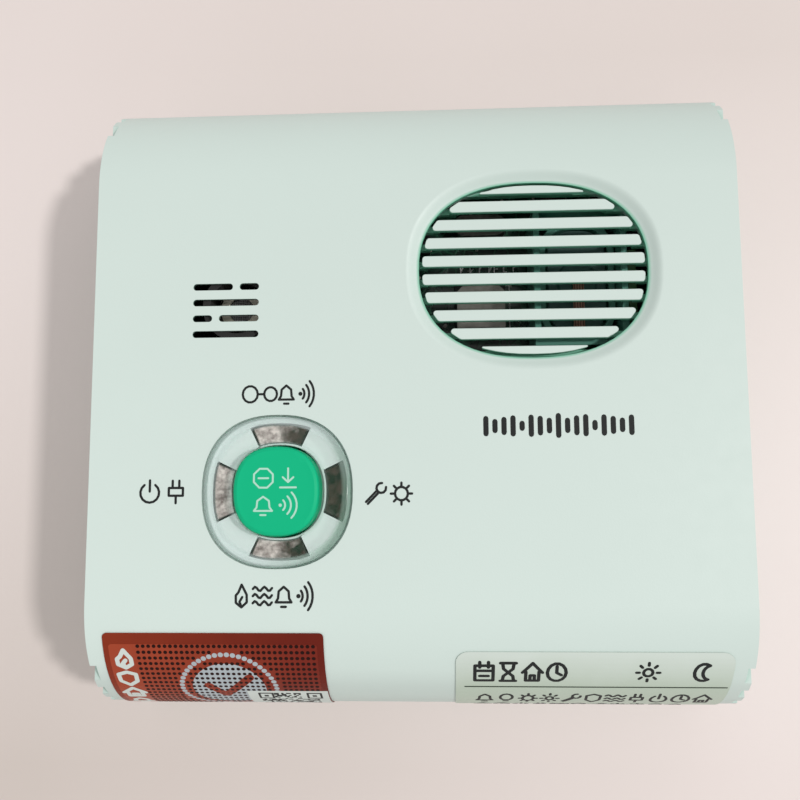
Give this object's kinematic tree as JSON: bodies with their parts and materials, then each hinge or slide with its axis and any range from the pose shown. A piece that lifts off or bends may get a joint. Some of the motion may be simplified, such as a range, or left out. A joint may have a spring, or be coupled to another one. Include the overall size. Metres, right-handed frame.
{
  "type": "carbon monoxide detector",
  "caption": "Square mint wall alarm for carbon monoxide and gas, with rolled edges, an oval grille, a slotted port, an indicator ring and a stop button.",
  "frame": {"origin": "middle of the back face of the wall plate, which lies flat on the wall", "axes": "+Z out of the alarm's face, +Y up when it hangs on a wall, +X to the right seen from the front"},
  "size_m": [0.12, 0.1205, 0.0373],
  "materials": {
    "mint_plastic": "moulded ABS, fine matte texture",
    "white_plastic": "moulded, matte",
    "green_plastic": "moulded, satin",
    "clear_plastic": "clear polycarbonate, polished",
    "led_resin": "water clear epoxy, unlit",
    "silver_plastic": "smoky metallic light guide",
    "black_plastic": "moulded, matte",
    "teal_plastic": "moulded, satin",
    "speaker_paper": "coated paper, matte",
    "black_rubber": "matte",
    "zinc_steel": "zinc plated",
    "nickel_can": "nickel plated, satin",
    "sensor_mesh": "fine woven mesh",
    "transformer_iron": "varnished laminations",
    "copper": "enamelled copper",
    "circuit_board": "dark green solder mask on glass fibre board",
    "yellow_film": "polyester film",
    "blue_sleeve": "shrunk sleeve",
    "blue_resin": "dipped or moulded",
    "grey_sleeve": "flat cable insulation",
    "fuse_glass": "clear",
    "red_label": "printed vinyl, satin",
    "pale_label": "printed clear film, satin"
  },
  "bodies": {
    "wall_plate": {"mounting_plate": "white_plastic"},
    "housing": {"rear_case": "mint_plastic", "front_cover": "mint_plastic", "grille_insert": "mint_plastic", "cord_grommet": "black_rubber", "case_screw_1": "zinc_steel", "case_screw_2": "zinc_steel", "case_screw_3": "zinc_steel", "case_screw_4": "zinc_steel", "indicator_ring": "clear_plastic", "indicator_lens": "silver_plastic", "light_shield": "white_plastic", "led_co_alarm": "led_resin", "led_fault": "led_resin", "led_gas_alarm": "led_resin", "led_power": "led_resin", "switch_body": "black_plastic", "indicator_board": "circuit_board", "indicator_board_screw_1": "zinc_steel", "indicator_board_screw_2": "zinc_steel", "upper_header": "white_plastic", "ribbon_cable": "grey_sleeve", "lower_header": "white_plastic", "main_board": "circuit_board", "board_screw_1": "zinc_steel", "board_screw_2": "zinc_steel", "board_screw_3": "zinc_steel", "board_screw_4": "zinc_steel", "gas_sensor_holder": "black_plastic", "gas_sensor_base": "nickel_can", "gas_sensor_cap": "nickel_can", "gas_sensor_mesh": "sensor_mesh", "gas_sensor_collar": "black_rubber", "co_sensor_base": "black_plastic", "co_sensor_can": "nickel_can", "speaker_pocket": "teal_plastic", "speaker_frame": "teal_plastic", "speaker_magnet": "zinc_steel", "speaker_terminal": "copper", "speaker_board": "circuit_board", "transformer_core": "transformer_iron", "transformer_winding": "yellow_film", "electrolytic_1": "blue_sleeve", "electrolytic_2": "blue_sleeve", "film_capacitor": "yellow_film", "fuse": "fuse_glass", "varistor": "blue_resin", "terminal_block": "blue_resin", "choke_coil": "copper", "relay": "black_plastic", "microcontroller": "black_plastic", "crystal": "nickel_can", "certification_label": "red_label", "date_label": "pale_label", "rating_label": "pale_label"},
    "button": {"button_cap": "green_plastic"},
    "plunger": {"switch_plunger": "white_plastic"},
    "diaphragm": {"speaker_cone": "speaker_paper", "voice_coil": "copper"}
  },
  "joints": [
    {"name": "housing_unhook", "type": "slide", "parent": "wall_plate", "child": "housing", "axis": [0, 1, 0], "range_m": [0, 0.008]},
    {"name": "button_press", "type": "slide", "parent": "housing", "child": "button", "axis": [0, 0, -1], "range_m": [0, 0.0009], "stiffness_N_per_m": 1500},
    {"name": "plunger_press", "type": "slide", "parent": "housing", "child": "plunger", "axis": [0, 0, -1], "range_m": [0, 0.0009]},
    {"name": "cone_stroke", "type": "slide", "parent": "housing", "child": "diaphragm", "axis": [0, 0, 1], "range_m": [-0.0004, 0.0004], "stiffness_N_per_m": 900}
  ],
  "couplings": [
    {"joint": "plunger_press", "follows": "button_press", "ratio": 1}
  ]
}
